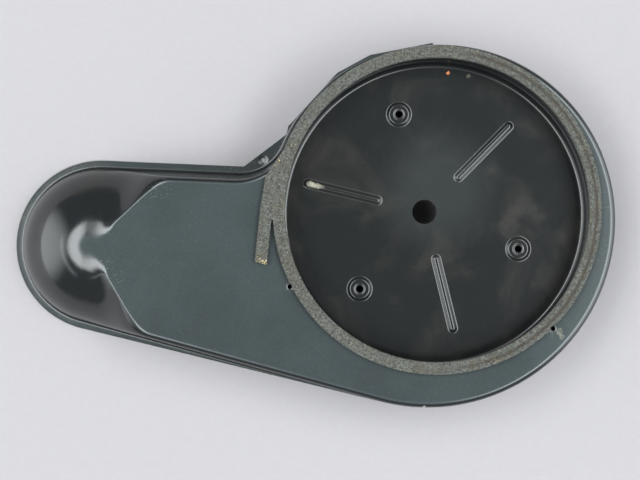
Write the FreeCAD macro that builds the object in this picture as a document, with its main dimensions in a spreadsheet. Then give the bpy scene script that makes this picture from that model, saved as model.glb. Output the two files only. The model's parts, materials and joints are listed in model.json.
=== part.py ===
import FreeCAD, Part
import math
import os

# Air filter housing: a black pressed-steel pan standing on its flange, with the open bowl
# facing up, and a self-adhesive foam strip laid round the bowl's rim.
# Millimetres, +Z up. The origin is the middle of the round hole in the bowl floor, level with
# the floor's upper face. The solids are drawn with the flange standing on z = 0 and are then
# lowered by the floor's height.

doc = FreeCAD.newDocument("air_filter_housing")
sheet = doc.addObject("Spreadsheet::Sheet", "Dimensions")

DIMENSIONS = [
    # pressed sheet
    ("sheet_thickness", 1.0),
    ("pan_height", 40.0),
    ("wall_draft_deg", 8.0),
    ("edge_round", 4.0),
    ("tongue_edge_round", 2.0),
    # scroll: three arcs whose radii grow by one step each, clockwise from the tongue
    ("scroll_x", 7.7),
    ("scroll_y", 2.1),
    ("scroll_radius", 97.9),
    ("scroll_step", 7.0),
    # lobe at the far end of the channel
    ("lobe_x", -192.6),
    ("lobe_y", -19.7),
    ("lobe_radius", 46.6),
    ("lobe_roll", 40.5),
    ("nose_crease_deg", 14.0),
    ("side_crease_deg", 24.0),
    ("roll_weight", 0.7),
    ("lobe_wall", 4.0),
    ("upper_roll_run", 46.0),
    ("lower_roll_run", 48.0),
    ("station_spacing", 5.0),
    ("channel_slope_deg", 2.4),
    ("tongue_radius", 28.0),
    # flange
    ("lobe_flange", 4.8),
    ("facet_radius", 100.9),
    ("lug_start_x", -106.5),
    ("lug_tip_x", -80.5),
    ("lug_tip_y", 47.8),
    ("lug_hole_x", -95.0),
    ("lug_hole_y", 32.1),
    ("lug_hole_radius", 1.5),
    ("lug_sink_radius", 3.2),
    ("lug_sink_depth", 0.6),
    # bowl
    ("bowl_x", 5.3),
    ("bowl_y", -1.8),
    ("bowl_radius", 87.2),
    ("bowl_depth", 14.0),
    ("bowl_draft_deg", 2.0),
    ("bowl_floor_round", 2.5),
    ("bowl_lip_round", 2.4),
    ("centre_hole_radius", 7.0),
    # screw bosses on the bowl floor
    ("boss_circle", 58.3),
    ("boss_base_radius", 7.6),
    ("boss_top_radius", 5.6),
    ("boss_height", 1.5),
    ("boss_sink_radius", 2.9),
    ("boss_sink_depth", 0.45),
    ("boss_hole_radius", 2.0),
    # beads on the bowl floor
    ("bead_inner", 25.5),
    ("bead_outer", 72.0),
    ("bead_width", 5.2),
    ("bead_height", 1.4),
    # screw holes through the rim
    ("rim_hole_circle", 92.4),
    ("rim_hole_radius", 1.4),
    ("rim_sink_radius", 3.6),
    ("rim_sink_depth", 0.5),
    # foam strip and the glue film under it
    ("strip_x", 5.6),
    ("strip_y", 0.6),
    ("strip_inner_radius", 85.8),
    ("strip_width", 7.0),
    ("strip_height", 3.0),
    ("strip_slit", 0.3),
    ("butt_deg", 163.0),
    ("butt_width", 4.2),
    ("split_deg", 181.0),
    ("shoulder_deg", 158.0),
    ("hip_width", 8.5),
    ("tail_lean_deg", 6.0),
    ("tail_length", 29.5),
    ("strip_screw_gap", 0.8),
    ("glue_thickness", 0.2),
    ("glue_inset", 0.3),
]
for row, (alias, value) in enumerate(DIMENSIONS, start=1):
    sheet.set("A%d" % row, alias)
    sheet.set("B%d" % row, str(value))
    sheet.setAlias("B%d" % row, alias)
doc.recompute()

BOSS_ANGLES = (104.7, -21.6, -130.1)
BEAD_ANGLES = (166.3, 45.5, -76.3)
RIM_HOLE_ANGLES = (206.3, -44.4)
# corners of the hand-trimmed flange along the scroll, as angles about the scroll's centre
FACET_ANGLES = (150.0, 125.0, 112.0, 90.0)


def dim(name):
    return float(sheet.get(name))


def polar(radius, degrees, centre=(0.0, 0.0)):
    angle = math.radians(degrees)
    return (centre[0] + radius * math.cos(angle), centre[1] + radius * math.sin(angle))


def vec(point, z=0.0):
    return FreeCAD.Vector(point[0], point[1], z)


# ---------------------------------------------------------------- plan outline of the wall's foot

class Outline:
    """Closed plan outline, walked clockwise as lines and arcs, with its outward normal."""

    def __init__(self):
        self.pieces = []

    def line(self, start, end):
        length = math.hypot(end[0] - start[0], end[1] - start[1])
        self.pieces.append(("line", length, start, end))

    def arc(self, centre, radius, first, last, turn=1.0):
        """turn is +1 where the outline bulges outward, and -1 where it is hollow."""
        length = radius * math.radians(abs(last - first))
        self.pieces.append(("arc", length, centre, radius, first, last, turn))

    def at(self, piece, share):
        """Point and outward normal at a share of one piece's length."""
        if piece[0] == "line":
            start, end = piece[2], piece[3]
            across = ((end[0] - start[0]) / piece[1], (end[1] - start[1]) / piece[1])
            point = (start[0] + share * (end[0] - start[0]), start[1] + share * (end[1] - start[1]))
            return point, (-across[1], across[0])
        centre, radius, first, last, turn = piece[2:]
        angle = first + share * (last - first)
        out = polar(turn, angle)
        return polar(radius, angle, centre), out


def tangent_turn(from_centre, from_radius, to_centre, to_radius):
    """Angle of the outward normal of the lower line that touches both circles."""
    gap_x = to_centre[0] - from_centre[0]
    gap_y = to_centre[1] - from_centre[1]
    bearing = math.degrees(math.atan2(gap_y, gap_x))
    lean = math.degrees(math.asin((to_radius - from_radius) / math.hypot(gap_x, gap_y)))
    return bearing - lean - 90.0


def foot_outline():
    """Line where the drafted wall meets z = 0: scroll, channel and lobe."""
    slope = dim("channel_slope_deg")
    lobe = (dim("lobe_x"), dim("lobe_y"))
    lobe_radius = dim("lobe_radius")
    step = dim("scroll_step")
    radius = dim("scroll_radius")
    first = (dim("scroll_x"), dim("scroll_y"))
    second = (first[0], first[1] - step)
    third = (first[0] - step, first[1] - step)
    low_turn = tangent_turn(lobe, lobe_radius, third, radius + 2.0 * step)
    high_turn = 90.0 - slope
    # hollow arc between the channel's upper wall and the scroll
    hollow = dim("tongue_radius")
    normal = polar(1.0, high_turn)
    lift = normal[0] * (lobe[0] - first[0]) + normal[1] * (lobe[1] - first[1]) + lobe_radius
    tongue = high_turn + math.degrees(math.acos((lift + hollow) / (radius + hollow)))
    hollow_centre = polar(radius + hollow, tongue, first)
    outline = Outline()
    outline.arc(first, radius, tongue, 90.0)
    outline.arc(second, radius + step, 90.0, 0.0)
    outline.arc(third, radius + 2.0 * step, 0.0, low_turn)
    outline.line(polar(radius + 2.0 * step, low_turn, third), polar(lobe_radius, low_turn, lobe))
    outline.arc(lobe, lobe_radius, low_turn, high_turn - 360.0)
    outline.line(polar(lobe_radius, high_turn, lobe), polar(hollow, high_turn - 180.0, hollow_centre))
    outline.arc(hollow_centre, hollow, high_turn - 180.0, tongue - 180.0, -1.0)
    return outline


SCROLL_TONGUE, SCROLL_MIDDLE, SCROLL_LAST, LOWER_WALL, LOBE, UPPER_WALL, HOLLOW = range(7)


def smooth(value):
    value = min(max(value, 0.0), 1.0)
    return value * value * (3.0 - 2.0 * value)


def roll_share(index, share, length):
    """0 where the top edge is a plain round, 1 where the lobe rolls over from foot to nose."""
    if index == LOBE:
        return 1.0
    if index == UPPER_WALL:
        return 1.0 - smooth(share * length / dim("upper_roll_run"))
    if index == LOWER_WALL:
        return 1.0 - smooth((1.0 - share) * length / dim("lower_roll_run"))
    return 0.0


def edge_radius(index, share):
    """Round of the plain top edge: tight at the tongue, growing along the scroll's first arc."""
    small = dim("tongue_edge_round")
    full = dim("edge_round")
    if index == HOLLOW:
        return full + (small - full) * smooth(share)
    if index == SCROLL_TONGUE:
        return small + (full - small) * smooth(share)
    return full


CONIC_STEPS = 10


def profile(roll, radius, inset):
    """Wall section as (distance inward from the foot, height), from the foot up to the flat top.

    A drafted straight, then a conic to the flat top. inset moves the section into the sheet.
    """
    height = dim("pan_height")
    slant = math.tan(math.radians(dim("wall_draft_deg")))
    half_turn = math.radians((90.0 - dim("wall_draft_deg")) / 2.0)
    plain_reach = radius * math.tan(half_turn)
    reach = plain_reach + roll * (height - dim("lobe_wall") - plain_reach)
    inner_end = height * slant + plain_reach
    inner_end += roll * (dim("lobe_roll") - inner_end)
    weight = math.cos(half_turn) + roll * (dim("roll_weight") - math.cos(half_turn))
    crease = math.radians(dim("nose_crease_deg") * roll + dim("side_crease_deg") * 4.0 * roll * (1.0 - roll))
    low = (slant * (height - reach), height - reach)
    corner_z = (height - inner_end * math.tan(crease)) / (1.0 - slant * math.tan(crease))
    corner = (slant * corner_z, corner_z)
    top = (inner_end, height)
    points = []
    for number in range(CONIC_STEPS + 1):
        share = number / CONIC_STEPS
        terms = ((1.0 - share) ** 2, 2.0 * weight * share * (1.0 - share), share ** 2)
        total = sum(terms)
        mixed = [sum(term * end[axis] for term, end in zip(terms, (low, corner, top))) / total
                 for axis in (0, 1)]
        run = [(corner[axis] - low[axis]) * (1.0 - share) + (top[axis] - corner[axis]) * share
               for axis in (0, 1)]
        size = math.hypot(run[0], run[1])
        points.append((mixed[0] + inset * run[1] / size, mixed[1] - inset * run[0] / size))
    points[-1] = (inner_end + inset * math.tan(crease / 2.0), height - inset)
    foot_z = -inset
    foot = (foot_z * slant + inset * math.hypot(1.0, slant), foot_z)
    return [foot] + points


def skin(inset):
    """Closed solid under the pan's outer face, or under its inner face when inset is the sheet."""
    outline = foot_outline()
    runs = []
    for index, piece in enumerate(outline.pieces):
        count = max(6, int(round(piece[1] / dim("station_spacing"))))
        run = []
        for number in range(count + 1):
            share = number / count
            point, out = outline.at(piece, share)
            roll = roll_share(index, share, piece[1])
            section = profile(roll, edge_radius(index, share), inset)
            run.append([FreeCAD.Vector(point[0] - out[0] * inward, point[1] - out[1] * inward, z)
                        for inward, z in section])
        runs.append(run)
    wires = []
    for level in range(len(runs[0][0])):
        edges = []
        for run in runs:
            curve = Part.BSplineCurve()
            curve.interpolate([column[level] for column in run])
            edges.append(curve.toShape())
        wires.append(Part.Wire(edges))
    return Part.makeLoft(wires, True, True)


def arc_edge(centre, radius, first, last):
    """Arc between two angles, by way of the angle halfway between them."""
    ends = [vec(polar(radius, angle, centre)) for angle in (first, 0.5 * (first + last), last)]
    return Part.Arc(*ends).toShape()


def line_edge(start, end):
    return Part.makeLine(vec(start), vec(end))


def flange_plate():
    """Flat flange: round the lobe, along the channel, the screw lug, and the facets by the tongue."""
    outline = foot_outline()
    lobe = (dim("lobe_x"), dim("lobe_y"))
    outer = dim("lobe_radius") + dim("lobe_flange")
    third, third_radius = outline.pieces[SCROLL_LAST][2:4]
    first = outline.pieces[SCROLL_TONGUE][2]
    low_turn = tangent_turn(lobe, outer, third, third_radius)
    high_turn = 90.0 - dim("channel_slope_deg")
    low_end = polar(third_radius, low_turn, third)
    lobe_low = polar(outer, low_turn, lobe)
    lobe_high = polar(outer, high_turn, lobe)
    drop = math.tan(math.radians(dim("channel_slope_deg")))
    lug_start = (dim("lug_start_x"), lobe_high[1] - drop * (dim("lug_start_x") - lobe_high[0]))
    corners = [lobe_high, lug_start, (dim("lug_tip_x"), dim("lug_tip_y"))]
    corners += [polar(dim("facet_radius"), angle, first) for angle in FACET_ANGLES]
    corners += [first, low_end]
    edges = [line_edge(low_end, lobe_low), arc_edge(lobe, outer, low_turn, high_turn - 360.0)]
    edges += [line_edge(start, end) for start, end in zip(corners, corners[1:])]
    face = Part.Face(Part.Wire(edges))
    return face.extrude(FreeCAD.Vector(0.0, 0.0, dim("sheet_thickness")))


# ---------------------------------------------------------------- document helpers

def feature(name, shape):
    made = doc.addObject("Part::Feature", name)
    made.Shape = shape
    return made


def bound(kind, name, **expressions):
    """Part primitive whose sizes are expressions of the sheet."""
    made = doc.addObject(kind, name)
    for prop, text in expressions.items():
        made.setExpression(prop, text.replace("$", "Dimensions."))
    return made


def place(made, x_text, y_text, z_text):
    for axis, text in zip("xyz", (x_text, y_text, z_text)):
        made.setExpression("Placement.Base." + axis, text.replace("$", "Dimensions."))
    return made


def on_circle(circle, degrees, centre=("0", "0")):
    """Expressions for a point at a radius and angle about a centre."""
    return ("%s + %s * cos(%s deg)" % (centre[0], circle, degrees),
            "%s + %s * sin(%s deg)" % (centre[1], circle, degrees))


def joined(kind, name, shapes):
    made = doc.addObject(kind, name)
    made.Shapes = shapes
    return made


def cut(name, base, tool):
    made = doc.addObject("Part::Cut", name)
    made.Base = base
    made.Tool = tool
    return made


BOWL_CENTRE = ("$bowl_x", "$bowl_y")
FLOOR_TOP = "$pan_height - $bowl_depth"
FLOOR_UNDER = "$pan_height - $bowl_depth - $sheet_thickness"


# ---------------------------------------------------------------- bowl

def bowl_section(inset):
    """Half section of the bowl's air side from the axis to the flat rim, moved into the sheet."""
    top = dim("pan_height") - inset
    floor = dim("pan_height") - dim("bowl_depth") - inset
    wall = dim("bowl_radius")
    draft = math.radians(dim("bowl_draft_deg"))
    floor_round = dim("bowl_floor_round") + inset
    lip_round = dim("bowl_lip_round") - inset
    half_turn = (math.pi / 2.0 - draft) / 2.0
    wall_low = wall + inset / math.cos(draft) - inset * math.tan(draft)
    wall_high = wall_low + (top - floor) * math.tan(draft)
    floor_reach = floor_round * math.tan(half_turn)
    lip_reach = lip_round * math.tan(half_turn)
    lean = (math.sin(draft), math.cos(draft))
    low = (wall_low + floor_reach * lean[0], floor + floor_reach * lean[1])
    high = (wall_high - lip_reach * lean[0], top - lip_reach * lean[1])
    floor_end = (wall_low - floor_reach, floor)
    lip_start = (wall_high + lip_reach, top)

    def bend(start, end, corner, radius):
        """Point of the round between two tangent points, nearest to their corner."""
        middle = (0.5 * (start[0] + end[0]), 0.5 * (start[1] + end[1]))
        gap = (corner[0] - middle[0], corner[1] - middle[1])
        depth = radius - math.sqrt(radius ** 2 - 0.25 * ((start[0] - end[0]) ** 2
                                                         + (start[1] - end[1]) ** 2))
        size = math.hypot(gap[0], gap[1])
        return (middle[0] + gap[0] * depth / size, middle[1] + gap[1] * depth / size)

    floor_mid = bend(floor_end, low, (wall_low, floor), floor_round)
    lip_mid = bend(high, lip_start, (wall_high, top), lip_round)
    return floor_end, floor_mid, low, high, lip_mid, lip_start


def bowl_pressing():
    """Bowl as one thickness of sheet: floor, floor round, drafted wall and lip, revolved."""
    thick = dim("sheet_thickness")
    centre_x = dim("bowl_x")
    upper = bowl_section(0.0)
    under = bowl_section(thick)
    floor = dim("pan_height") - dim("bowl_depth")

    def at(point):
        return FreeCAD.Vector(centre_x + point[0], dim("bowl_y"), point[1])

    def arc(points):
        return Part.Arc(*[at(point) for point in points]).toShape()

    def line(start, end):
        return Part.makeLine(at(start), at(end))

    edges = [line((0.0, floor), upper[0]), arc(upper[0:3]), line(upper[2], upper[3]), arc(upper[3:6]),
             line(upper[5], under[5]), arc(under[5:2:-1]), line(under[3], under[2]), arc(under[2::-1]),
             line(under[0], (0.0, floor - thick)), line((0.0, floor - thick), (0.0, floor))]
    face = Part.Face(Part.Wire(edges))
    return face.revolve(at((0.0, 0.0)), FreeCAD.Vector(0.0, 0.0, 1.0), 360.0)


outer_skin = feature("outer_skin", skin(0.0))
inner_skin = feature("inner_skin", skin(dim("sheet_thickness")))
flange = feature("flange_plate", flange_plate())
bowl = feature("bowl_pressing", bowl_pressing())

pan_blank = joined("Part::MultiFuse", "pan_blank", [outer_skin, flange])
pan_sheet = cut("pan_sheet", pan_blank, inner_skin)
bowl_rim_radius = bowl_section(0.0)[-1][0]
sheet.set("A%d" % (len(DIMENSIONS) + 1), "bowl_rim_radius")
sheet.set("B%d" % (len(DIMENSIONS) + 1), "%.6f" % bowl_rim_radius)
sheet.setAlias("B%d" % (len(DIMENSIONS) + 1), "bowl_rim_radius")
doc.recompute()

bowl_opening = bound("Part::Cylinder", "bowl_opening", Radius="$bowl_rim_radius", Height="$pan_height")
place(bowl_opening, *BOWL_CENTRE, "$pan_height - 2 * $sheet_thickness")
pan_open = cut("pan_open", pan_sheet, bowl_opening)


# ---------------------------------------------------------------- embossed bosses and beads

def boss(number, degrees):
    """Raised round pad: its outer cone, the hollow that the punch leaves, its sink and its hole."""
    spot = on_circle("$boss_circle", degrees)
    pad = bound("Part::Cone", "boss_%d" % number, Radius1="$boss_base_radius",
                Radius2="$boss_top_radius", Height="$boss_height")
    place(pad, *spot, FLOOR_TOP)
    web = bound("Part::Cylinder", "boss_web_%d" % number, Radius="$boss_base_radius",
                Height="$sheet_thickness")
    place(web, *spot, FLOOR_UNDER)
    hollow = bound("Part::Cone", "boss_hollow_%d" % number,
                   Radius1="$boss_base_radius - 0.6 * $sheet_thickness",
                   Radius2="$boss_top_radius - 0.6 * $sheet_thickness", Height="$boss_height")
    place(hollow, *spot, FLOOR_UNDER)
    sink = bound("Part::Cone", "boss_sink_%d" % number, Radius1="$boss_hole_radius",
                 Radius2="$boss_sink_radius", Height="$boss_sink_depth")
    place(sink, *spot, FLOOR_TOP + " + $boss_height - $boss_sink_depth")
    hole = bound("Part::Cylinder", "boss_hole_%d" % number, Radius="$boss_hole_radius",
                 Height="4 * $sheet_thickness")
    place(hole, *spot, FLOOR_UNDER)
    return [pad, web], [hollow, sink, hole]


BEAD_RISE = "($bead_width ^ 2 / (8 * $bead_height) + $bead_height / 2)"


def bead(number, degrees):
    """Raised radial rib: part of a round bar with ball ends, and the hollow under it."""
    ribs = []
    for name, shrink in (("bead", "0"), ("bead_hollow", "$sheet_thickness")):
        radius = BEAD_RISE + " - " + shrink
        axis_z = FLOOR_TOP + " + $bead_height - " + BEAD_RISE
        length = "$bead_outer - $bead_inner - $bead_width"
        bar = bound("Part::Cylinder", "%s_bar_%d" % (name, number), Radius=radius, Height=length)
        bar.Placement.Rotation = FreeCAD.Rotation(degrees, 90.0, 0.0)
        inner = on_circle("($bead_inner + $bead_width / 2)", degrees)
        outer = on_circle("($bead_outer - $bead_width / 2)", degrees)
        place(bar, *inner, axis_z)
        balls = []
        for end, spot in (("in", inner), ("out", outer)):
            ball = bound("Part::Sphere", "%s_%s_%d" % (name, end, number), Radius=radius)
            place(ball, *spot, axis_z)
            balls.append(ball)
        ribs.append(joined("Part::MultiFuse", "%s_whole_%d" % (name, number), [bar] + balls))
    slab = bound("Part::Cylinder", "bead_slab_%d" % number, Radius="$bead_outer",
                 Height="$sheet_thickness + $bead_height")
    place(slab, "0", "0", FLOOR_UNDER)
    rib = joined("Part::MultiCommon", "bead_%d" % number, [ribs[0], slab])
    return [rib], [ribs[1]]


added = []
removed = []
for number, degrees in enumerate(BOSS_ANGLES, start=1):
    more, less = boss(number, degrees)
    added += more
    removed += less
for number, degrees in enumerate(BEAD_ANGLES, start=1):
    more, less = bead(number, degrees)
    added += more
    removed += less


# ---------------------------------------------------------------- plain holes

def sunk_hole(name, spot, hole_radius, sink_radius, sink_depth, face_z):
    """Hole through one thickness of sheet, with a shallow dished mouth on the upper face."""
    hole = bound("Part::Cylinder", name, Radius=hole_radius, Height="3 * $sheet_thickness")
    place(hole, *spot, face_z + " - 2 * $sheet_thickness")
    sink = bound("Part::Cone", name + "_sink", Radius1=hole_radius, Radius2=sink_radius,
                 Height=sink_depth)
    place(sink, *spot, face_z + " - " + sink_depth)
    return [hole, sink]


centre_hole = bound("Part::Cylinder", "centre_hole", Radius="$centre_hole_radius",
                    Height="3 * $sheet_thickness")
place(centre_hole, "0", "0", FLOOR_UNDER + " - $sheet_thickness")
removed.append(centre_hole)
removed += sunk_hole("lug_hole", ("$lug_hole_x", "$lug_hole_y"), "$lug_hole_radius",
                     "$lug_sink_radius", "$lug_sink_depth", "$sheet_thickness")
for number, degrees in enumerate(RIM_HOLE_ANGLES, start=1):
    removed += sunk_hole("rim_hole_%d" % number, on_circle("$rim_hole_circle", degrees, BOWL_CENTRE),
                         "$rim_hole_radius", "$rim_sink_radius", "$rim_sink_depth", "$pan_height")

pressed = joined("Part::MultiFuse", "pressed_sheet", [pan_open, bowl] + added)
punches = joined("Part::MultiFuse", "punches", removed)
housing_shell = cut("housing_shell", pressed, punches)
doc.recompute()


# ---------------------------------------------------------------- foam strip and its glue

def strip_solid(inset, low, thickness):
    """Hand-laid strip: a tail, once clockwise round the rim, and back beside its own tail.

    inset draws every edge in, for the glue film that stops short of the foam's edges.
    """
    centre = (dim("strip_x"), dim("strip_y"))
    inner = dim("strip_inner_radius") + inset
    outer = dim("strip_inner_radius") + dim("strip_width") - inset
    slit = dim("strip_slit")
    butt_in = polar(inner, dim("butt_deg"), centre)
    butt_out = (butt_in[0] - dim("butt_width") + 2.0 * inset, butt_in[1])
    split = polar(outer, dim("split_deg"), centre)
    length = math.hypot(butt_out[0] - split[0], butt_out[1] - split[1])
    along = ((butt_out[0] - split[0]) / length, (butt_out[1] - split[1]) / length)
    lean = math.radians(dim("tail_lean_deg"))
    reach = dim("tail_length") - inset

    def beside(point, gap, run=0.0):
        """Point off to the tail's side of the line from split to butt."""
        return (point[0] - gap * along[1] + run * along[0], point[1] + gap * along[0] + run * along[1])

    def down(point):
        return (point[0] - reach * math.sin(lean), point[1] - reach * math.cos(lean))

    near = slit + 2.0 * inset
    tail_right = beside(split, near)
    tail_left = beside(split, slit + dim("strip_width"))
    hip = beside(butt_out, slit + dim("hip_width"), -dim("hip_width"))
    shoulder = polar(outer, dim("shoulder_deg"), centre)
    over_butt = (beside(butt_out, near)[0], butt_out[1] + near)
    crotch = polar(inner, dim("butt_deg") - math.degrees(near / inner) * 1.2, centre)

    def edge(start, end):
        return Part.makeLine(vec(start, low), vec(end, low))

    def ring(start, radius, end):
        middle = polar(radius, dim("butt_deg") - 180.0, centre)
        return Part.Arc(vec(start, low), vec(middle, low), vec(end, low)).toShape()

    edges = [ring(crotch, inner, butt_in), edge(butt_in, butt_out), edge(butt_out, split),
             ring(split, outer, shoulder)]
    corners = (shoulder, hip, tail_left, down(tail_left), down(tail_right), tail_right, over_butt,
               crotch)
    edges += [edge(start, end) for start, end in zip(corners, corners[1:])]
    face = Part.Face(Part.Wire(edges))
    return face.extrude(FreeCAD.Vector(0.0, 0.0, thickness))


pan_top = dim("pan_height")
glue = dim("glue_thickness")
glue_blank = feature("glue_blank", strip_solid(dim("glue_inset"), pan_top, glue))
foam_blank = feature("foam_blank", strip_solid(0.0, pan_top + glue, dim("strip_height")))

# the strip is nicked where it passes the rim's screw holes
screw_rooms = []
for number, degrees in enumerate(RIM_HOLE_ANGLES, start=1):
    room = bound("Part::Cylinder", "screw_room_%d" % number,
                 Radius="$rim_hole_radius + $strip_screw_gap",
                 Height="$glue_thickness + $strip_height + 2 * $sheet_thickness")
    place(room, *on_circle("$rim_hole_circle", degrees, BOWL_CENTRE), "$pan_height - $sheet_thickness")
    screw_rooms.append(room)
screw_room = joined("Part::MultiFuse", "screw_room", screw_rooms)
strip_adhesive = cut("strip_adhesive", glue_blank, screw_room)
foam_strip = cut("foam_strip", foam_blank, screw_room)

NODES = (housing_shell, foam_strip, strip_adhesive)
for node in NODES:
    place(node, "0", "0", "$bowl_depth - $pan_height")
doc.recompute()


# ---------------------------------------------------------------- checks and files

for made in doc.Objects:
    if "Invalid" in made.State or "Error" in made.State:
        raise RuntimeError("%s failed: %s" % (made.Label, made.State))
for node in NODES:
    node.Label = node.Name
    if node.Shape.isNull() or not node.Shape.isValid():
        raise RuntimeError("%s has no valid shape" % node.Label)
    if len(node.Shape.Solids) != 1:
        raise RuntimeError("%s is %d solids" % (node.Label, len(node.Shape.Solids)))

os.makedirs("parts", exist_ok=True)
for node in NODES:
    node.Shape.exportStep("parts/%s.step" % node.Label)
    box = node.Shape.BoundBox
    print("%s  volume %.0f mm3  x %.2f..%.2f  y %.2f..%.2f  z %.2f..%.2f" % (
        node.Label, node.Shape.Volume, box.XMin, box.XMax, box.YMin, box.YMax, box.ZMin, box.ZMax))
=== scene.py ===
import json
import math

import bmesh
import bpy
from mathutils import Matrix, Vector, noise
from mathutils.geometry import delaunay_2d_cdt


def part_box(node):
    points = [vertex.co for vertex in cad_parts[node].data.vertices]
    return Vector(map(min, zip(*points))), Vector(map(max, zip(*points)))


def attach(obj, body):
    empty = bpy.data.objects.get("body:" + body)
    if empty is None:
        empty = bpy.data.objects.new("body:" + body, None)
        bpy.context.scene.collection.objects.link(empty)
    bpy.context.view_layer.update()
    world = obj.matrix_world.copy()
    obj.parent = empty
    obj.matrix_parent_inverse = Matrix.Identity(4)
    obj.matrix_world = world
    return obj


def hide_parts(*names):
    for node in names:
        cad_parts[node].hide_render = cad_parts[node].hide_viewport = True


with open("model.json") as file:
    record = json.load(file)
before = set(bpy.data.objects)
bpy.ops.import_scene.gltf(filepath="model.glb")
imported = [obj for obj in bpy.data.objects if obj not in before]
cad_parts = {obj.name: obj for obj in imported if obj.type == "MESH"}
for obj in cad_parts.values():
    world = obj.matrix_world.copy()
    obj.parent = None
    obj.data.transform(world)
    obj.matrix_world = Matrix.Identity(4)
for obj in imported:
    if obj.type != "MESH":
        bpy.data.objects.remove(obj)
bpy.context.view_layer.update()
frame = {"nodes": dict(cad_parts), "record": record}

# Air filter housing seen from straight above: a black painted pressed-steel pan standing on its
# flange, with a worn foam strip stuck round the open bowl. The meshes are worked out in
# millimetres in the frame of the CAD and stored in metres.

MM = 0.001
MOUNTS = {mount["name"]: mount for mount in frame["record"]["mounts"]}


def box_mm(node):
    low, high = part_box(node)
    return low / MM, high / MM


def hole(name):
    """(x, y, radius) of a round hole."""
    mount = MOUNTS[name]
    return mount["pos_m"][0] / MM, mount["pos_m"][1] / MM, mount["dims"]["r_mm"]


SHELL_LOW, SHELL_HIGH = box_mm("housing_shell")
FOAM_LOW, FOAM_HIGH = box_mm("foam_strip")

# ---------------------------------------------------------------- driving sizes, millimetres
SHEET = 1.0
TOP_Z = SHELL_HIGH.z
BASE_Z = SHELL_LOW.z
HEIGHT = TOP_Z - BASE_Z
WALL_DRAFT_DEG = 8.0
SLANT = math.tan(math.radians(WALL_DRAFT_DEG))
HALF_TURN = math.radians((90.0 - WALL_DRAFT_DEG) / 2.0)
EDGE_ROUND = 4.0
TONGUE_EDGE_ROUND = 2.0
FOOT_ROUND = 2.2

SCROLL_RADIUS = 97.9
SCROLL_STEP = 7.0
SCROLL = (SHELL_HIGH.x - SCROLL_RADIUS - SCROLL_STEP,
          SHELL_LOW.y + SCROLL_RADIUS + 3.0 * SCROLL_STEP)
LOBE_RADIUS = 46.6
LOBE_FLANGE = 4.8
LOBE = (SHELL_LOW.x + LOBE_RADIUS + LOBE_FLANGE, -19.7)
LOBE_ROLL = 40.5
LOBE_WALL = 4.0
NOSE_CREASE = 14.0
SIDE_CREASE = 24.0
NOSE_ROUND = 52.0
NOSE_INNER = 4.4
SIDE_ROUND = 3.0
ROLL_WEIGHT = 0.7
UPPER_ROLL_RUN = 46.0
LOWER_ROLL_RUN = 48.0
CHANNEL_SLOPE = 2.4
TONGUE_RADIUS = 28.0

FACET_RADIUS = 100.9
FACET_ANGLES = (150.0, 125.0, 112.0, 90.0)
LUG_START_X = -106.5
LUG_TIP = (-80.5, 47.8)
LUG_HOLE = hole("lug_hole")

BOWL = (5.3, -1.8)
BOWL_RADIUS = 87.2
BOWL_SLANT_DEG = 2.0
BOWL_FLOOR_ROUND = 2.5
BOWL_LIP_ROUND = 2.4
CENTRE_HOLE = hole("centre_hole")
BOSSES = [hole("boss_hole_%d" % number) for number in (1, 2, 3)]
BOSS_HEIGHT = 1.5
BEAD_ANGLES = (166.3, 45.5, -76.3)
BEAD_INNER = 25.5
BEAD_OUTER = 72.0
BEAD_WIDTH = 5.2
BEAD_HEIGHT = 1.4
RIM_HOLES = [hole("rim_hole_%d" % number) for number in (1, 2)]

STRIP = (5.6, 0.6)
STRIP_INNER = 85.8
STRIP_WIDTH = 7.0
BUTT_DEG = 163.0
SPLIT_DEG = 181.0
SHOULDER_DEG = 158.0
BUTT_WIDTH = 4.2
STRIP_SLIT = 0.3
SCREW_GAP = 0.8
HIP_WIDTH = 8.5
TAIL_LEAN_DEG = 6.0
TAIL_LENGTH = 29.5


# ---------------------------------------------------------------- small helpers

def polar(radius, degrees, centre=(0.0, 0.0)):
    angle = math.radians(degrees)
    return (centre[0] + radius * math.cos(angle), centre[1] + radius * math.sin(angle))


def smooth(value):
    value = min(max(value, 0.0), 1.0)
    return value * value * (3.0 - 2.0 * value)


def ring(centre, radius, count):
    return [polar(radius, 360.0 * number / count, centre) for number in range(count)]


def inside(point, loop):
    """Whether a plan point lies within a closed loop."""
    x, y = point
    odd = False
    for (x0, y0), (x1, y1) in zip(loop, loop[1:] + loop[:1]):
        if (y0 > y) != (y1 > y) and x < x0 + (y - y0) * (x1 - x0) / (y1 - y0):
            odd = not odd
    return odd


class Skin:
    """Points and faces of one surface, in millimetres."""

    def __init__(self):
        self.points = []
        self.faces = []

    def strip(self, columns):
        """Quads between neighbouring columns of points, all of one length, closed in a round."""
        start = len(self.points)
        rows = len(columns[0])
        for column in columns:
            self.points += column
        for number in range(len(columns)):
            here = start + number * rows
            there = start + (number + 1) % len(columns) * rows
            for row in range(rows - 1):
                self.faces.append((here + row, there + row, there + row + 1, here + row + 1))

    def fill(self, loops, contours, height):
        """Triangles within the first loop and outside the others; contours only shape them."""
        plan = []
        edges = []
        for loop in loops + contours:
            start = len(plan)
            plan += loop
            edges += [(start + number, start + (number + 1) % len(loop)) for number in range(len(loop))]
        made = delaunay_2d_cdt([Vector(point) for point in plan], edges, [], 0, 1e-4)
        start = len(self.points)
        self.points += [(point.x, point.y, height(point.x, point.y)) for point in made[0]]
        for face in made[2]:
            middle = (sum(made[0][corner].x for corner in face) / 3.0,
                      sum(made[0][corner].y for corner in face) / 3.0)
            if sum(inside(middle, loop) for loop in loops) == 1 and inside(middle, loops[0]):
                self.faces.append(tuple(start + corner for corner in face))

    def mesh(self, name):
        made = bpy.data.meshes.new(name)
        made.from_pydata([Vector(point) * MM for point in self.points], [], self.faces)
        return made


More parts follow.
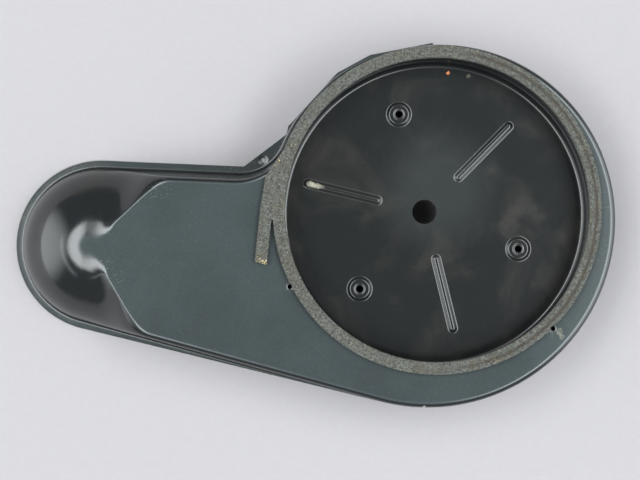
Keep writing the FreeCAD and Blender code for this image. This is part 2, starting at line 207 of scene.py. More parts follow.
def shown(name, mesh, material):
    """Mesh as a piece of the object, on its one body."""
    made = bpy.data.objects.new(name, mesh)
    bpy.context.scene.collection.objects.link(made)
    mesh.materials.clear()
    mesh.materials.append(material)
    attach(made, "root")
    return made


def applied(obj):
    """Bakes an object's modifiers into its mesh."""
    graph = bpy.context.evaluated_depsgraph_get()
    baked = bpy.data.meshes.new_from_object(obj.evaluated_get(graph))
    obj.modifiers.clear()
    obj.data = baked
    return obj


# ---------------------------------------------------------------- plan outline of the wall's foot

class Outline:
    """Closed plan outline, walked clockwise as lines and arcs, with its outward normal."""

    def __init__(self):
        self.pieces = []

    def line(self, start, end):
        self.pieces.append(("line", math.dist(start, end), start, end))

    def arc(self, centre, radius, first, last, turn=1.0):
        """turn is +1 where the outline bulges outward, and -1 where it is hollow."""
        length = radius * math.radians(abs(last - first))
        self.pieces.append(("arc", length, centre, radius, first, last, turn))

    def at(self, piece, share):
        """Point and outward normal at a share of one piece's length."""
        if piece[0] == "line":
            start, end = piece[2], piece[3]
            across = ((end[0] - start[0]) / piece[1], (end[1] - start[1]) / piece[1])
            point = (start[0] + share * (end[0] - start[0]), start[1] + share * (end[1] - start[1]))
            return point, (-across[1], across[0])
        centre, radius, first, last, turn = piece[2:]
        angle = first + share * (last - first)
        return polar(radius, angle, centre), polar(turn, angle)


def tangent_turn(from_centre, from_radius, to_centre, to_radius):
    """Angle of the outward normal of the lower line that touches both circles."""
    gap_x = to_centre[0] - from_centre[0]
    gap_y = to_centre[1] - from_centre[1]
    bearing = math.degrees(math.atan2(gap_y, gap_x))
    lean = math.degrees(math.asin((to_radius - from_radius) / math.hypot(gap_x, gap_y)))
    return bearing - lean - 90.0


SECOND = (SCROLL[0], SCROLL[1] - SCROLL_STEP)
THIRD = (SCROLL[0] - SCROLL_STEP, SCROLL[1] - SCROLL_STEP)
THIRD_RADIUS = SCROLL_RADIUS + 2.0 * SCROLL_STEP
HIGH_TURN = 90.0 - CHANNEL_SLOPE
SCROLL_TONGUE, SCROLL_MIDDLE, SCROLL_LAST, LOWER_WALL, LOBE_ARC, UPPER_WALL, HOLLOW = range(7)


def foot_outline():
    low_turn = tangent_turn(LOBE, LOBE_RADIUS, THIRD, THIRD_RADIUS)
    normal = polar(1.0, HIGH_TURN)
    lift = normal[0] * (LOBE[0] - SCROLL[0]) + normal[1] * (LOBE[1] - SCROLL[1]) + LOBE_RADIUS
    swing = math.acos((lift + TONGUE_RADIUS) / (SCROLL_RADIUS + TONGUE_RADIUS))
    tongue = HIGH_TURN + math.degrees(swing)
    hollow = polar(SCROLL_RADIUS + TONGUE_RADIUS, tongue, SCROLL)
    outline = Outline()
    outline.arc(SCROLL, SCROLL_RADIUS, tongue, 90.0)
    outline.arc(SECOND, SCROLL_RADIUS + SCROLL_STEP, 90.0, 0.0)
    outline.arc(THIRD, THIRD_RADIUS, 0.0, low_turn)
    outline.line(polar(THIRD_RADIUS, low_turn, THIRD), polar(LOBE_RADIUS, low_turn, LOBE))
    outline.arc(LOBE, LOBE_RADIUS, low_turn, HIGH_TURN - 360.0)
    outline.line(polar(LOBE_RADIUS, HIGH_TURN, LOBE), polar(TONGUE_RADIUS, HIGH_TURN - 180.0, hollow))
    outline.arc(hollow, TONGUE_RADIUS, HIGH_TURN - 180.0, tongue - 180.0, -1.0)
    return outline


def roll_share(index, share, length):
    """0 where the top edge is a plain round, 1 where the lobe rolls over from foot to nose."""
    if index == LOBE_ARC:
        return 1.0
    if index == UPPER_WALL:
        return 1.0 - smooth(share * length / UPPER_ROLL_RUN)
    if index == LOWER_WALL:
        return 1.0 - smooth((1.0 - share) * length / LOWER_ROLL_RUN)
    return 0.0


def edge_radius(index, share):
    if index == HOLLOW:
        return EDGE_ROUND + (TONGUE_EDGE_ROUND - EDGE_ROUND) * smooth(share)
    if index == SCROLL_TONGUE:
        return TONGUE_EDGE_ROUND + (EDGE_ROUND - TONGUE_EDGE_ROUND) * smooth(share)
    return EDGE_ROUND


# ---------------------------------------------------------------- wall section

FILLET_STEPS = 6
STRAIGHT_STEPS = 3
CONIC_STEPS = 22
CREASE_STEPS = 8


def wall_section(roll, radius, flange):
    """(distance in from the foot, height) from the flange's fillet up to the flat top."""
    if flange > 0.05:
        turn = min(FOOT_ROUND, 0.95 * (flange + SLANT * SHEET) / math.tan(HALF_TURN))
        start = SLANT * SHEET - turn * math.tan(HALF_TURN)
        arc = [2.0 * HALF_TURN * step / FILLET_STEPS for step in range(FILLET_STEPS + 1)]
        points = [(start + turn * math.sin(a), SHEET + turn - turn * math.cos(a)) for a in arc]
    else:
        points = [(0.0, 0.0)] * (FILLET_STEPS + 1)
    plain_reach = radius * math.tan(HALF_TURN)
    reach = plain_reach + roll * (HEIGHT - LOBE_WALL - plain_reach)
    inner_end = HEIGHT * SLANT + plain_reach
    inner_end += roll * (LOBE_ROLL - inner_end)
    weight = math.cos(HALF_TURN) + roll * (ROLL_WEIGHT - math.cos(HALF_TURN))
    crease = math.radians(NOSE_CREASE * roll + SIDE_CREASE * 4.0 * roll * (1.0 - roll))
    round_off = SIDE_ROUND + (NOSE_ROUND - SIDE_ROUND) * smooth((roll - 0.7) / 0.3)
    trim = max(0.4, round_off * math.tan(crease / 2.0))
    low = (SLANT * (HEIGHT - reach), HEIGHT - reach)
    corner_z = (HEIGHT - inner_end * math.tan(crease)) / (1.0 - SLANT * math.tan(crease))
    corner = (SLANT * corner_z, corner_z)
    top = (inner_end, HEIGHT)
    foot = points[-1]
    for step in range(1, STRAIGHT_STEPS):
        share = step / STRAIGHT_STEPS
        points.append((foot[0] + share * (low[0] - foot[0]), foot[1] + share * (low[1] - foot[1])))

    def conic(share):
        terms = ((1.0 - share) ** 2, 2.0 * weight * share * (1.0 - share), share ** 2)
        return tuple(sum(term * end[axis] for term, end in zip(terms, (low, corner, top))) / sum(terms)
                     for axis in (0, 1))

    last = 1.0
    while math.dist(conic(last), top) < trim:
        last -= 0.004
    points += [conic(last * step / CONIC_STEPS) for step in range(CONIC_STEPS + 1)]
    start, end = points[-1], (inner_end + min(trim, NOSE_INNER), HEIGHT)
    for step in range(1, CREASE_STEPS + 1):
        share = step / CREASE_STEPS
        points.append(tuple((1.0 - share) ** 2 * start[axis] + 2.0 * share * (1.0 - share) * top[axis]
                            + share ** 2 * end[axis] for axis in (0, 1)))
    return points


# ---------------------------------------------------------------- flange outline

def flange_corners():
    slope = math.tan(math.radians(CHANNEL_SLOPE))
    high = polar(LOBE_RADIUS + LOBE_FLANGE, HIGH_TURN, LOBE)
    lug_start = (LUG_START_X, high[1] - slope * (LUG_START_X - high[0]))
    return [lug_start, LUG_TIP] + [polar(FACET_RADIUS, angle, SCROLL) for angle in FACET_ANGLES]


def flange_outline():
    """Closed line of the flange's outer edge, shut through the middle of the scroll."""
    outer = LOBE_RADIUS + LOBE_FLANGE
    low_turn = tangent_turn(LOBE, outer, THIRD, THIRD_RADIUS)
    count = 160
    turns = [low_turn + (HIGH_TURN - 360.0 - low_turn) * number / count for number in range(count + 1)]
    lobe = [polar(outer, turn, LOBE) for turn in turns]
    return [polar(THIRD_RADIUS, low_turn, THIRD)] + lobe + flange_corners() + [SCROLL]


def reach_to(loop, point, out):
    """Distance from a point along its outward normal to the nearest crossing of a loop, or 0."""
    found = []
    for start, end in zip(loop, loop[1:] + loop[:1]):
        edge = (end[0] - start[0], end[1] - start[1])
        cross = out[0] * edge[1] - out[1] * edge[0]
        if abs(cross) < 1e-9:
            continue
        gap = (start[0] - point[0], start[1] - point[1])
        along = (gap[0] * edge[1] - gap[1] * edge[0]) / cross
        share = (gap[0] * out[1] - gap[1] * out[0]) / cross
        if 0.0 <= share <= 1.0 and along >= 0.0:
            found.append(along)
    return min(found) if found else 0.0


# ---------------------------------------------------------------- pressed details

def bowl_section():
    """Half section of the bowl's air side, from the floor's edge to the flat rim."""
    draft = math.radians(BOWL_SLANT_DEG)
    half_turn = (math.pi / 2.0 - draft) / 2.0
    depth = TOP_Z
    wall_high = BOWL_RADIUS + depth * math.tan(draft)
    floor_reach = BOWL_FLOOR_ROUND * math.tan(half_turn)
    lip_reach = BOWL_LIP_ROUND * math.tan(half_turn)
    points = []
    floor_centre = (BOWL_RADIUS - floor_reach, BOWL_FLOOR_ROUND)
    lip_centre = (wall_high + lip_reach, TOP_Z - BOWL_LIP_ROUND)
    steps = 8
    for step in range(steps + 1):
        turn = 2.0 * half_turn * step / steps
        points.append((floor_centre[0] + BOWL_FLOOR_ROUND * math.sin(turn),
                       floor_centre[1] - BOWL_FLOOR_ROUND * math.cos(turn)))
    low = points[-1]
    lip = [(lip_centre[0] - BOWL_LIP_ROUND * math.cos(draft + 2.0 * half_turn * step / steps),
            lip_centre[1] + BOWL_LIP_ROUND * math.sin(draft + 2.0 * half_turn * step / steps))
           for step in range(steps + 1)]
    for share in (0.25, 0.5, 0.75):
        points.append((low[0] + share * (lip[0][0] - low[0]), low[1] + share * (lip[0][1] - low[1])))
    return points + lip


def bead_ends(degrees):
    half = 0.5 * BEAD_WIDTH
    return polar(BEAD_INNER + half, degrees), polar(BEAD_OUTER - half, degrees)


def bead_loop(degrees, gap):
    """Closed line at one distance from a bead's middle line."""
    inner, outer = bead_ends(degrees)
    steps = 14
    loop = [polar(gap, degrees - 90.0 + 180.0 * step / steps, outer) for step in range(steps + 1)]
    loop += [polar(gap, degrees + 90.0 + 180.0 * step / steps, inner) for step in range(steps + 1)]
    full = []
    for start, end in zip(loop, loop[1:] + loop[:1]):
        pieces = max(1, int(math.dist(start, end) / 2.5))
        full += [(start[0] + (end[0] - start[0]) * piece / pieces,
                  start[1] + (end[1] - start[1]) * piece / pieces) for piece in range(pieces)]
    return full


def bead_gap(x, y, degrees):
    inner, outer = bead_ends(degrees)
    run = (outer[0] - inner[0], outer[1] - inner[1])
    share = ((x - inner[0]) * run[0] + (y - inner[1]) * run[1]) / (run[0] ** 2 + run[1] ** 2)
    share = min(max(share, 0.0), 1.0)
    return math.hypot(x - inner[0] - share * run[0], y - inner[1] - share * run[1])


BOSS_RINGS = (8.2, 7.8, 7.4, 7.0, 6.6, 6.2, 5.8, 5.4, 5.0, 4.6, 4.0, 3.6, 3.3, 3.0, 2.7, 2.4, 2.2)
BEAD_RINGS = (3.4, 3.1, 2.8, 2.5, 2.2, 1.9, 1.6, 1.3, 1.0, 0.6, 0.3)
DISH_RINGS = (2.2, 2.0, 1.8, 1.6)


def floor_height(x, y):
    """Bowl floor: raised pads round the screw holes and raised radial beads."""
    height = 0.0
    for hole_x, hole_y, _ in BOSSES:
        away = math.hypot(x - hole_x, y - hole_y)
        if away < BOSS_RINGS[0]:
            height = BOSS_HEIGHT * smooth((7.6 - away) / 2.4) - 0.5 * smooth((3.5 - away) / 1.2)
    for degrees in BEAD_ANGLES:
        away = bead_gap(x, y, degrees)
        if away < BEAD_RINGS[0]:
            height = BEAD_HEIGHT * smooth((3.2 - away) / 2.9)
    return height


def rim_height(x, y):
    """Flat rim, dished at the mouths of the screw holes."""
    height = TOP_Z
    for hole_x, hole_y, _ in RIM_HOLES:
        away = math.hypot(x - hole_x, y - hole_y)
        height -= 0.35 * smooth((2.2 - away) / 0.8)
    return height


def flange_height(x, y):
    away = math.hypot(x - LUG_HOLE[0], y - LUG_HOLE[1])
    return BASE_Z + SHEET - 0.5 * smooth((3.6 - away) / 2.2)


# ---------------------------------------------------------------- the pressed shell

STATION_SPACING = 2.2
# a longer reach has missed the flange beside it and met a farther stretch of the outline
WIDEST_FLANGE = 30.0


def build_shell():
    outline = foot_outline()
    edge = flange_outline()
    stations = []
    for index, piece in enumerate(outline.pieces):
        count = max(12, int(round(piece[1] / STATION_SPACING)))
        for number in range(count):
            share = number / count
            point, out = outline.at(piece, share)
            flange = 0.0 if index in (SCROLL_MIDDLE, SCROLL_LAST) else reach_to(edge, point, out)
            if flange > WIDEST_FLANGE:
                flange = 0.0
            stations.append([point, out, flange, roll_share(index, share, piece[1]),
                             edge_radius(index, share)])
    skin = Skin()
    columns = []
    for point, out, flange, roll, radius in stations:
        section = wall_section(roll, radius, flange)
        columns.append([(point[0] - out[0] * inward, point[1] - out[1] * inward, BASE_Z + height)
                        for inward, height in section])
    skin.strip(columns)
    top_loop = [column[-1][:2] for column in columns]
    guards = []
    for gap in (0.5, 1.6):
        guards.append([(column[-1][0] - station[1][0] * gap, column[-1][1] - station[1][1] * gap)
                       for column, station in zip(columns, stations)])

    section = bowl_section()
    turns = 300
    skin.strip([[(*polar(radius, -360.0 * number / turns, BOWL), height) for radius, height in section]
                for number in range(turns)])
    lip_loop = ring(BOWL, section[-1][0], turns)
    floor_loop = ring(BOWL, section[0][0], turns)

    rim_rings = [ring(spot[:2], radius, 48) for spot in RIM_HOLES for radius in DISH_RINGS]
    rim_loops = [top_loop, lip_loop] + [ring(spot[:2], spot[2], 40) for spot in RIM_HOLES]
    skin.fill(rim_loops, guards + rim_rings, rim_height)

    floor_rings = [ring(BOWL, section[0][0] - gap, turns) for gap in (0.5, 1.5)]
    floor_rings += [ring(CENTRE_HOLE[:2], CENTRE_HOLE[2] + gap, 96) for gap in (0.4, 1.2)]
    for hole_x, hole_y, _ in BOSSES:
        floor_rings += [ring((hole_x, hole_y), radius, 64) for radius in BOSS_RINGS]
    for degrees in BEAD_ANGLES:
        floor_rings += [bead_loop(degrees, gap) for gap in BEAD_RINGS]
    floor_loops = [floor_loop, ring(CENTRE_HOLE[:2], CENTRE_HOLE[2], 96)]
    floor_loops += [ring(spot[:2], spot[2], 64) for spot in BOSSES]
    skin.fill(floor_loops, floor_rings, floor_height)

    outer_loop = [(point[0] + out[0] * flange, point[1] + out[1] * flange)
                  for point, out, flange, _, _ in stations]
    for corner in flange_corners():
        nearest = min(range(len(outer_loop)), key=lambda number: math.dist(outer_loop[number], corner))
        if stations[nearest][2] > 0.0:
            outer_loop[nearest] = corner
    foot_loop = [column[0][:2] for column in columns]
    lug_rings = [ring(LUG_HOLE[:2], radius, 40) for radius in (4.4, 3.8, 3.4, 3.0, 2.6, 2.2, 1.8)]
    skin.fill([outer_loop, foot_loop, ring(LUG_HOLE[:2], LUG_HOLE[2], 40)], lug_rings, flange_height)
    return skin


# ---------------------------------------------------------------- materials

class Graph:
    """Node tree of one material, built by calls that return sockets."""

    def __init__(self, name):
        self.material = bpy.data.materials.new(name)
        self.material.use_nodes = True
        self.tree = self.material.node_tree
        self.tree.nodes.clear()
        self.out = self.tree.nodes.new("ShaderNodeOutputMaterial")
        coordinates = self.tree.nodes.new("ShaderNodeTexCoord")
        self.place = coordinates.outputs["Object"]

    def set(self, socket, value):
        if isinstance(value, bpy.types.NodeSocket):
            self.tree.links.new(value, socket)
        elif value is not None:
            socket.default_value = value

    def node(self, kind, **settings):
        made = self.tree.nodes.new(kind)
        for name, value in settings.items():
            setattr(made, name, value)
        return made

    def math(self, operation, first, second=0.0, third=None):
        made = self.node("ShaderNodeMath", operation=operation)
        self.set(made.inputs[0], first)
        self.set(made.inputs[1], second)
        if third is not None:
            self.set(made.inputs[2], third)
        return made.outputs[0]

    def vector(self, operation, first, second):
        made = self.node("ShaderNodeVectorMath", operation=operation)
        self.set(made.inputs[0], first)
        self.set(made.inputs[1], second)
        return made.outputs["Value" if operation == "DISTANCE" else "Vector"]

    def noise(self, scale, detail=3.0, rough=0.5, distortion=0.0):
        """Noise value; scale is in waves per metre."""
        made = self.node("ShaderNodeTexNoise")
        self.set(made.inputs["Vector"], self.place)
        made.inputs["Scale"].default_value = scale
        made.inputs["Detail"].default_value = detail
        made.inputs["Roughness"].default_value = rough
        made.inputs["Distortion"].default_value = distortion
        return made.outputs["Fac"]

    def range(self, value, low, high, to_low=0.0, to_high=1.0):
        made = self.node("ShaderNodeMapRange", interpolation_type="SMOOTHSTEP")
        self.set(made.inputs["Value"], value)
        ends = (("From Min", low), ("From Max", high), ("To Min", to_low), ("To Max", to_high))
        for name, number in ends:
            self.set(made.inputs[name], number)
        return made.outputs["Result"]

    def mix(self, share, first, second):
        made = self.node("ShaderNodeMix", data_type="RGBA")
        self.set(made.inputs["Factor"], share)
        self.set(made.inputs["A"], (*first, 1.0) if isinstance(first, tuple) else first)
        self.set(made.inputs["B"], (*second, 1.0) if isinstance(second, tuple) else second)
        return made.outputs["Result"]

    def axes(self):
        made = self.node("ShaderNodeSeparateXYZ")
        self.set(made.inputs[0], self.place)
        return made.outputs

    def bump(self, height, strength, distance, normal=None):
        made = self.node("ShaderNodeBump")
        made.inputs["Strength"].default_value = strength
        made.inputs["Distance"].default_value = distance
        self.set(made.inputs["Height"], height)
        self.set(made.inputs["Normal"], normal)
        return made.outputs[0]

    def principled(self, **values):
        made = self.node("ShaderNodeBsdfPrincipled")
        for name, value in values.items():
            self.set(made.inputs[name.replace("_", " ")], value)
        self.tree.links.new(made.outputs[0], self.out.inputs["Surface"])
        return made

    def spot(self, centre, radius, wobble=0.35, grain=900.0):
        """1 within an uneven round spot about a plan point in millimetres, 0 outside it."""
        flat = self.vector("MULTIPLY", self.place, (1.0, 1.0, 0.0))
        away = self.vector("DISTANCE", flat, (centre[0] * MM, centre[1] * MM, 0.0))
        uneven = self.math("MULTIPLY_ADD", self.noise(grain), wobble * radius * MM * 4.0,
                           -2.0 * wobble * radius * MM)
        away = self.math("ADD", away, uneven)
        return self.range(away, radius * MM * 1.1, radius * MM * 0.8)


# worn or dusty places: plan point in millimetres, radius, strength
SCUFFS = (
    ((-67.0, 16.2), 1.6, 0.45), ((-65.6, 15.9), 1.9, 0.5), ((-64.0, 15.5), 1.9, 0.5),
    ((-62.4, 15.1), 1.8, 0.4), ((-60.8, 14.7), 1.6, 0.3), ((-59.0, 14.2), 1.4, 0.2),
    ((-85.5, 24.5), 1.0, 0.7), ((-1.5, -111.0), 0.9, 0.7), ((25.5, 78.6), 1.3, 0.2),
    ((75.0, -68.2), 2.0, 0.25), ((76.5, -71.0), 1.6, 0.2),
)
# specks lie thickest beside the creases at the lobe's nose
SPECK_FIELDS = (
    ((-181.5, -30.0), 5.0), ((-176.5, -37.5), 6.0), ((-151.0, 12.0), 7.0), ((-181.0, -9.0), 4.0),
)


CLEAN_PAINT = (0.007, 0.008, 0.0085)
# Dust grey for the flat rim and flange, also used as a painted sheen that brightens the rim toward the
# right.
DUST_AND_SHEEN_PAINT = (0.032, 0.041, 0.042)
BROWN_SMUDGE = (0.019, 0.016, 0.011)
# Grey of a painted sheen on the bowl floor.
PAINTED_SHEEN_GREY = (0.022, 0.025, 0.024)
PALE_SPECK = (0.34, 0.36, 0.35)
WORN_PAINT = (0.36, 0.34, 0.27)
RUST = (0.42, 0.13, 0.03)
RUST_CHIP = ((13.7, 80.5), 1.1)
# Middle of the painted sheen on the bowl floor, in metres.
PAINTED_SHEEN_CENTRE = (0.008, 0.014, 0.0)


def black_paint():
    graph = Graph("black_paint")
    x, _, z = graph.axes()
    broad = graph.noise(22.0, 3.0, 0.55)
    smears = graph.noise(30.0, 4.0, 0.55, distortion=0.8)
    grain = graph.noise(700.0, 4.0, 0.6)
    blotch = graph.range(graph.noise(420.0, 5.0, 0.7), 0.30, 0.62, 0.25, 1.0)
    specks = graph.range(graph.noise(1900.0, 2.0, 0.5), 0.69, 0.74)
    rim_level = graph.range(z, (TOP_Z - 0.7) * MM, (TOP_Z - 0.05) * MM)
    flange_level = graph.range(z, (BASE_Z + 1.5) * MM, (BASE_Z + 1.05) * MM, 0.0, 0.8)
    dust_and_sheen = graph.math("ADD", rim_level, flange_level)
    dust_and_sheen = graph.math("MULTIPLY", dust_and_sheen, graph.range(broad, 0.3, 0.7, 0.78, 1.0))
    dust_and_sheen = graph.math("MULTIPLY", dust_and_sheen, graph.range(grain, 0.25, 0.75, 0.85, 1.0))
    # Painted sheen: the dust grey is raised up to threefold toward +x, standing in for the reflection of
    # the light on the right.
    dust_and_sheen = graph.math("MULTIPLY", dust_and_sheen, graph.range(x, 0.05, 0.105, 1.0, 3.2))
    in_bowl = graph.range(z, 0.0025, 0.0005)
    smudge = graph.math("MULTIPLY", in_bowl, graph.range(smears, 0.42, 0.75))
    flat = graph.vector("MULTIPLY", graph.place, (1.0, 1.0, 0.0))
    away = graph.vector("DISTANCE", flat, PAINTED_SHEEN_CENTRE)
    # Painted sheen: lighter grey fading out from the middle of the bowl floor, a reflection painted into
    # the colour.
    painted_sheen = graph.math("MULTIPLY", in_bowl, graph.range(away, 0.045, 0.010))
    paint = graph.mix(dust_and_sheen, CLEAN_PAINT, DUST_AND_SHEEN_PAINT)
    paint = graph.mix(graph.math("MULTIPLY", smudge, 0.45), paint, BROWN_SMUDGE)
    paint = graph.mix(graph.math("MULTIPLY", painted_sheen, 0.75), paint, PAINTED_SHEEN_GREY)
    field = 0.12
    for centre, radius in SPECK_FIELDS:
        field = graph.math("ADD", field, graph.spot(centre, radius, 0.2, 120.0))
    paint = graph.mix(graph.math("MULTIPLY", specks, field), paint, PALE_SPECK)
    for centre, radius, strength in SCUFFS:
        scuff = graph.math("MULTIPLY", graph.spot(centre, radius, 0.3, 400.0), strength)
        paint = graph.mix(graph.math("MULTIPLY", scuff, blotch), paint, WORN_PAINT)
    rust = graph.spot(*RUST_CHIP)
    paint = graph.mix(rust, paint, RUST)
    rough = graph.range(grain, 0.2, 0.8, 0.10, 0.14)
    rough = graph.math("ADD", rough, graph.math("MULTIPLY", dust_and_sheen, 0.05))
    rough = graph.math("ADD", rough, graph.math("MULTIPLY", in_bowl, 0.05))
    rough = graph.math("ADD", rough, graph.math("MULTIPLY", smudge, 0.10))
    rough = graph.math("ADD", rough, graph.math("MULTIPLY", rust, 0.5))
    peel = graph.bump(graph.noise(420.0, 2.0, 0.4), 0.05, 0.0004)
    waves = graph.bump(graph.noise(34.0, 1.0, 0.4), 0.07, 0.0015, peel)
    graph.principled(Base_Color=paint, Roughness=rough, Normal=waves, IOR=1.55)
    return graph.material


def seal_foam():
    """Grey open-cell foam, pressed brown along its middle and crumbling yellow at its edges."""
    graph = Graph("seal_foam")
    x = graph.axes()[0]
    cells = graph.noise(900.0, 6.0, 0.75)
    broad = graph.noise(150.0, 4.0, 0.6)
    ends = graph.math("ADD", graph.spot((-92.7, -31.0), 4.5), graph.spot((-86.0, 28.0), 3.0))
    crumbs = graph.math("ADD", graph.noise(1300.0, 2.0, 0.5), graph.math("MULTIPLY", ends, 0.16))
    crumbs = graph.range(crumbs, 0.66, 0.72)
    patches = graph.range(graph.noise(90.0, 2.0, 0.5), 0.5, 0.62)
    flat = graph.vector("MULTIPLY", graph.place, (1.0, 1.0, 0.0))
    away = graph.vector("DISTANCE", flat, (STRIP[0] * MM, STRIP[1] * MM, 0.0))
    middle = graph.math("ABSOLUTE", graph.math("SUBTRACT", away, (STRIP_INNER + 0.55 * STRIP_WIDTH) * MM))
    pressed = graph.math("MULTIPLY", graph.range(middle, 0.0012, 0.0003), graph.range(x, 0.0, 0.04))
    colour = graph.mix(graph.range(cells, 0.34, 0.66), (0.017, 0.017, 0.015), (0.118, 0.122, 0.108))
    colour = graph.mix(graph.range(broad, 0.40, 0.70, 0.0, 0.55), colour, (0.060, 0.052, 0.038))
    colour = graph.mix(graph.math("MULTIPLY", pressed, 0.7), colour, (0.030, 0.022, 0.014))
    colour = graph.mix(graph.math("MULTIPLY", crumbs, graph.math("MULTIPLY_ADD", patches, 0.7, 0.3)),
                       colour, (0.42, 0.34, 0.17))
    height = graph.math("SUBTRACT", cells, graph.math("MULTIPLY", pressed, 0.6))
    graph.principled(Base_Color=colour, Roughness=0.95, Normal=graph.bump(height, 1.0, 0.0011))
    return graph.material


def yellow_glue():
    graph = Graph("yellow_glue")
    fine = graph.noise(1200.0, 4.0, 0.6)
    colour = graph.mix(graph.range(fine, 0.3, 0.7), (0.30, 0.22, 0.08), (0.62, 0.52, 0.26))
    graph.principled(Base_Color=colour, Roughness=0.6, Normal=graph.bump(fine, 0.6, 0.0005))
    return graph.material


def pale_floor():
    graph = Graph("pale_floor")
    fine = graph.noise(260.0, 2.0, 0.5)
    colour = graph.mix(graph.range(fine, 0.3, 0.7), (0.257, 0.243, 0.250), (0.263, 0.249, 0.256))
    graph.principled(Base_Color=colour, Roughness=0.7)
    return graph.material


PAINT = black_paint()
FOAM = seal_foam()
GLUE = yellow_glue()


# ---------------------------------------------------------------- shell object

def weld(mesh, gap):
    work = bmesh.new()
    work.from_mesh(mesh)
    bmesh.ops.remove_doubles(work, verts=work.verts, dist=gap)
    bmesh.ops.dissolve_degenerate(work, edges=work.edges, dist=gap)
    bmesh.ops.recalc_face_normals(work, faces=work.faces)
    up = sum(face.normal.z * face.calc_area() for face in work.faces)
    if up < 0.0:
        bmesh.ops.reverse_faces(work, faces=work.faces)
    work.to_mesh(mesh)
    work.free()


skin = build_shell()
shell_mesh = skin.mesh("pressed_shell")
weld(shell_mesh, 2e-6)
shell = shown("pressed_shell", shell_mesh, PAINT)
thick = shell.modifiers.new("sheet", "SOLIDIFY")
thick.thickness = SHEET * MM
thick.offset = -1.0
thick.use_even_offset = False
applied(shell)
for vertex in shell.data.vertices:
    vertex.co.z = max(vertex.co.z, BASE_Z * MM)
shell.data.polygons.foreach_set("use_smooth", [True] * len(shell.data.polygons))
shell.data.set_sharp_from_angle(angle=math.radians(38.0))
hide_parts("housing_shell")


# ---------------------------------------------------------------- foam strip

def beside_screw(point):
    """Point of the strip's edge, drawn in toward the bowl where a screw hole nicks the strip."""
    for hole_x, hole_y, hole_radius in RIM_HOLES:
        gap = Vector((point[0] - hole_x, point[1] - hole_y))
        room = hole_radius + SCREW_GAP
        if gap.length < room:
            out = Vector((point[0] - STRIP[0], point[1] - STRIP[1])).normalized()
            step = gap.dot(out) + math.sqrt(gap.dot(out) ** 2 - gap.length_squared + room ** 2)
            point = (point[0] - out.x * step, point[1] - out.y * step)
    return point


def strip_outline():
    """Closed plan outline of the strip: once round the rim with a tail beside the join."""
    inner = STRIP_INNER
    outer = STRIP_INNER + STRIP_WIDTH
    butt_in = polar(inner, BUTT_DEG, STRIP)
    butt_out = (butt_in[0] - BUTT_WIDTH, butt_in[1])
    split = polar(outer, SPLIT_DEG, STRIP)
    length = math.dist(butt_out, split)
    along = ((butt_out[0] - split[0]) / length, (butt_out[1] - split[1]) / length)
    lean = math.radians(TAIL_LEAN_DEG)

    def beside(point, gap, run=0.0):
        return (point[0] - gap * along[1] + run * along[0], point[1] + gap * along[0] + run * along[1])

    def down(point):
        return (point[0] - TAIL_LENGTH * math.sin(lean), point[1] - TAIL_LENGTH * math.cos(lean))

    tail_right = beside(split, STRIP_SLIT)
    tail_left = beside(split, STRIP_SLIT + STRIP_WIDTH)
    hip = beside(butt_out, STRIP_SLIT + HIP_WIDTH, -HIP_WIDTH)
    over_butt = (beside(butt_out, STRIP_SLIT)[0], butt_out[1] + STRIP_SLIT)
    crotch_deg = BUTT_DEG - math.degrees(STRIP_SLIT / inner) * 1.2
    count = 260
    loop = [polar(inner, crotch_deg - (360.0 + crotch_deg - BUTT_DEG) * number / count, STRIP)
            for number in range(count + 1)]
    loop += [butt_out]
    loop += [polar(outer, SPLIT_DEG + (360.0 + SHOULDER_DEG - SPLIT_DEG) * number / (4 * count), STRIP)
             for number in range(4 * count + 1)]
    loop += [hip, tail_left, down(tail_left), down(tail_right), tail_right, over_butt]
    return [beside_screw(point) for point in loop]


def build_foam():
    loop = strip_outline()
    foam = Skin()
    low, high = FOAM_LOW.z, FOAM_HIGH.z
    foam.fill([loop], [], lambda x, y: low)
    foam.faces = [face[::-1] for face in foam.faces]
    foam.fill([loop], [], lambda x, y: high)
    foam.strip([[(x, y, low), (x, y, high)] for x, y in loop])
    mesh = foam.mesh("foam_seal")
    weld(mesh, 2e-6)
    made = shown("foam_seal", mesh, FOAM)
    cells = made.modifiers.new("cells", "REMESH")
    cells.mode = "VOXEL"
    cells.voxel_size = 0.4 * MM
    soft = made.modifiers.new("soft", "SMOOTH")
    soft.iterations = 4
    soft.factor = 0.5
    applied(made)
    for vertex in made.data.vertices:
        spot = vertex.co / MM
        swell = 0.16 * noise.noise(spot * 0.35) + 0.14 * noise.noise(spot * 1.3)
        lift = smooth((spot.z - low) / 1.0)
        vertex.co.z += (swell - 0.15) * lift * MM
        elsewhere = spot * 0.9 + Vector((40.0, 0.0, 0.0))
        drift = Vector((noise.noise(spot * 0.9), noise.noise(elsewhere), 0.0))
        vertex.co += drift * 0.22 * MM
    made.data.polygons.foreach_set("use_smooth", [True] * len(made.data.polygons))
    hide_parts("foam_strip")
    return made


foam = build_foam()
adhesive = frame["nodes"]["strip_adhesive"]
adhesive.data.materials.clear()
adhesive.data.materials.append(GLUE)


# ---------------------------------------------------------------- floor, light, camera

def floor_plane():
    half = 3.0
    mesh = bpy.data.meshes.new("floor")
    height = BASE_Z * MM - 0.0002
    corners = [(x, y, height) for x, y in ((-half, -half), (half, -half), (half, half), (-half, half))]
    mesh.from_pydata(corners, [], [(0, 1, 2, 3)])
    mesh.materials.append(pale_floor())
    made = bpy.data.objects.new("floor", mesh)
    bpy.context.scene.collection.objects.link(made)


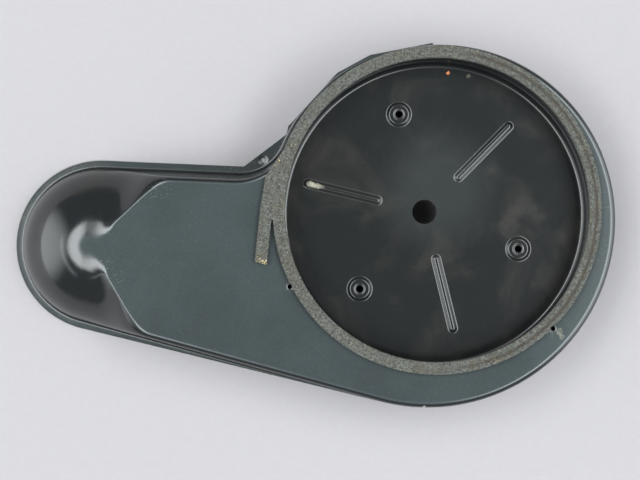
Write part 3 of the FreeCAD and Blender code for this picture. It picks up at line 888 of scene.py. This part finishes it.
class Sky:
    """World whose brightness is a sum of patches, each faded by the angle to a direction."""

    def __init__(self, colour):
        world = bpy.data.worlds.new("room")
        bpy.context.scene.world = world
        world.use_nodes = True
        self.tree = world.node_tree
        self.tree.nodes.clear()
        self.back = self.tree.nodes.new("ShaderNodeBackground")
        self.back.inputs["Color"].default_value = (*colour, 1.0)
        out = self.tree.nodes.new("ShaderNodeOutputWorld")
        self.tree.links.new(self.back.outputs[0], out.inputs["Surface"])
        self.place = self.tree.nodes.new("ShaderNodeTexCoord").outputs["Generated"]

    def toward(self, direction):
        """Cosine of the angle to a direction."""
        dot = self.tree.nodes.new("ShaderNodeVectorMath")
        dot.operation = "DOT_PRODUCT"
        self.tree.links.new(self.place, dot.inputs[0])
        dot.inputs[1].default_value = Vector(direction).normalized()
        return dot.outputs["Value"]

    def fade(self, value, start, end, low, high):
        """low to high as value goes from start to end."""
        made = self.tree.nodes.new("ShaderNodeMapRange")
        made.interpolation_type = "SMOOTHSTEP"
        self.tree.links.new(value, made.inputs["Value"])
        for name, number in zip(("From Min", "From Max", "To Min", "To Max"), (start, end, low, high)):
            made.inputs[name].default_value = number
        return made.outputs["Result"]

    def join(self, operation, first, second):
        made = self.tree.nodes.new("ShaderNodeMath")
        made.operation = operation
        for socket, value in zip(made.inputs, (first, second)):
            if isinstance(value, float):
                socket.default_value = value
            else:
                self.tree.links.new(value, socket)
        return made.outputs[0]

    def set(self, strength):
        self.tree.links.new(strength, self.back.inputs["Strength"])


def cosine(degrees):
    return math.cos(math.radians(degrees))


def room_light():
    """Soft ring of light round a darker overhead, strongest to the left and the right."""
    sky = Sky((0.93, 0.98, 1.0))
    up = sky.toward((0, 0, 1))
    sides = sky.fade(sky.join("ABSOLUTE", sky.toward((1, 0, 0)), 0.0), 0.12, 0.45, 0.0, 1.0)
    rise = sky.fade(up, cosine(30.0), cosine(8.0), 0.9, 0.25)
    fall = sky.fade(up, cosine(56.0), cosine(40.0), 0.25, 1.0)
    base = sky.join("MULTIPLY", rise, fall)
    ring = sky.join("MULTIPLY", sky.fade(up, cosine(52.0), cosine(40.0), 0.0, 1.0),
                    sky.fade(up, cosine(33.0), cosine(20.0), 1.0, 0.0))
    panels = sky.join("MULTIPLY", sky.join("MULTIPLY", ring, sides), 8.5)
    glow = sky.fade(sky.toward((-1.0, 0.02, 0.16)), cosine(42.0), cosine(2.0), 0.0, 3.4)
    band = sky.join("MULTIPLY", sky.fade(up, cosine(63.0), cosine(61.0), 0.0, 1.0),
                    sky.fade(up, cosine(59.5), cosine(57.5), 1.0, 0.0))
    tube = sky.join("MULTIPLY", band, sky.fade(sky.toward((-1.0, -0.35, 0.0)), 0.66, 0.80, 0.0, 2.2))
    right = sky.fade(sky.toward((1.0, -0.1, 0.35)), cosine(42.0), cosine(22.0), 0.0, 2.6)
    total = base
    for part in (panels, glow, tube, right):
        total = sky.join("ADD", total, part)
    sky.set(total)


def camera():
    data = bpy.data.cameras.new("camera")
    data.sensor_width = 36.0
    data.lens = 55.7
    data.clip_start = 0.01
    data.clip_end = 20.0
    made = bpy.data.objects.new("camera", data)
    bpy.context.scene.collection.objects.link(made)
    made.location = (-0.0605, -0.0163, BASE_Z * MM + 0.600)
    bpy.context.scene.camera = made


floor_plane()
room_light()
camera()
bpy.context.scene.view_settings.view_transform = "Standard"
